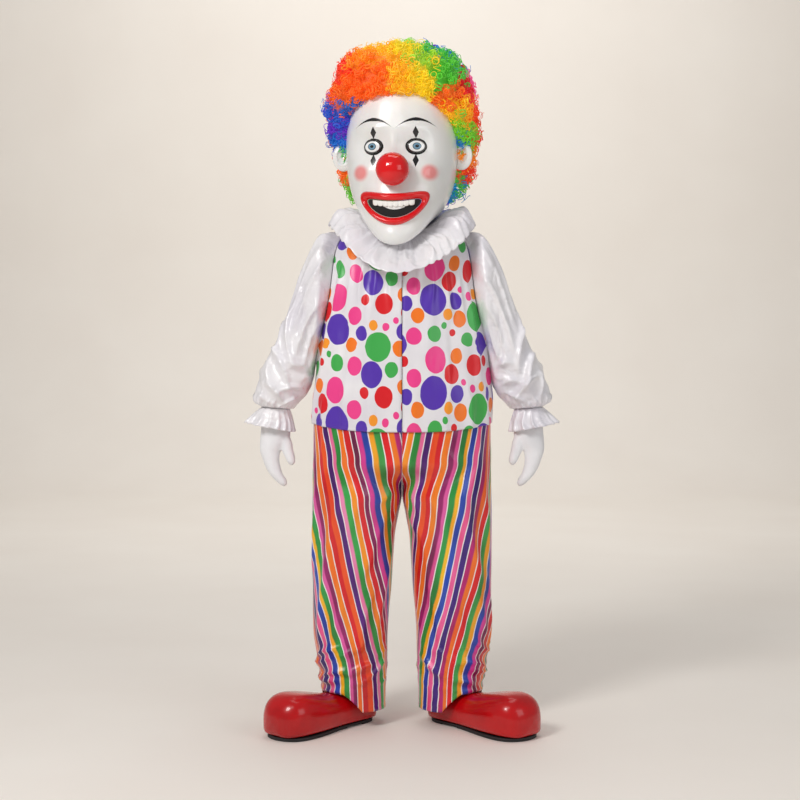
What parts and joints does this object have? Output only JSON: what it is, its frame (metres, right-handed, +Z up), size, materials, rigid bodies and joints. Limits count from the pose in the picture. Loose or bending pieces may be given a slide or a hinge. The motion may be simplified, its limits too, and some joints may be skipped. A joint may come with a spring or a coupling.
{
  "type": "clown mascot costume",
  "caption": "Full clown costume with a hollow head, rainbow wig, ruff, spotted blouse, striped trousers, gloves and big red shoes, hollow and posed as worn.",
  "frame": {"origin": "middle between the wearer's shoulders at the neckline, which carry the costume", "axes": "+Z up along the body, +X to the wearer's left, the front faces -Y"},
  "size_m": [0.9162, 0.489, 1.9738],
  "materials": {
    "mask": "satin gloss",
    "gloss_red": "gloss",
    "eye": "gloss",
    "teeth": "gloss",
    "gauze": "matte",
    "hair": "matte",
    "white_satin": "satin",
    "spotted_satin": "satin",
    "striped_satin": "satin",
    "elastic": "matte",
    "glove_cotton": "matte",
    "shoe_red": "gloss",
    "sole": "matte"
  },
  "bodies": {
    "root": {"mask_face": "mask", "mask_back": "mask", "ear_left": "mask", "ear_right": "mask", "nose": "gloss_red", "lips": "gloss_red", "eye_left": "eye", "eye_right": "eye", "teeth": "teeth", "mouth_gauze": "gauze", "wig": "hair", "ruff": "white_satin", "blouse_front_left": "spotted_satin", "blouse_front_right": "spotted_satin", "blouse_back": "spotted_satin", "waistband": "elastic", "sleeve_left": "white_satin", "cuff_frill_left": "white_satin", "glove_left": "glove_cotton", "trousers_front_left": "striped_satin", "trousers_back_left": "striped_satin", "shoe_vamp_left": "shoe_red", "shoe_quarter_left": "shoe_red", "shoe_heel_counter_left": "shoe_red", "shoe_sole_left": "sole", "sleeve_right": "white_satin", "cuff_frill_right": "white_satin", "glove_right": "glove_cotton", "trousers_front_right": "striped_satin", "trousers_back_right": "striped_satin", "shoe_vamp_right": "shoe_red", "shoe_quarter_right": "shoe_red", "shoe_heel_counter_right": "shoe_red", "shoe_sole_right": "sole"}
  },
  "joints": []
}
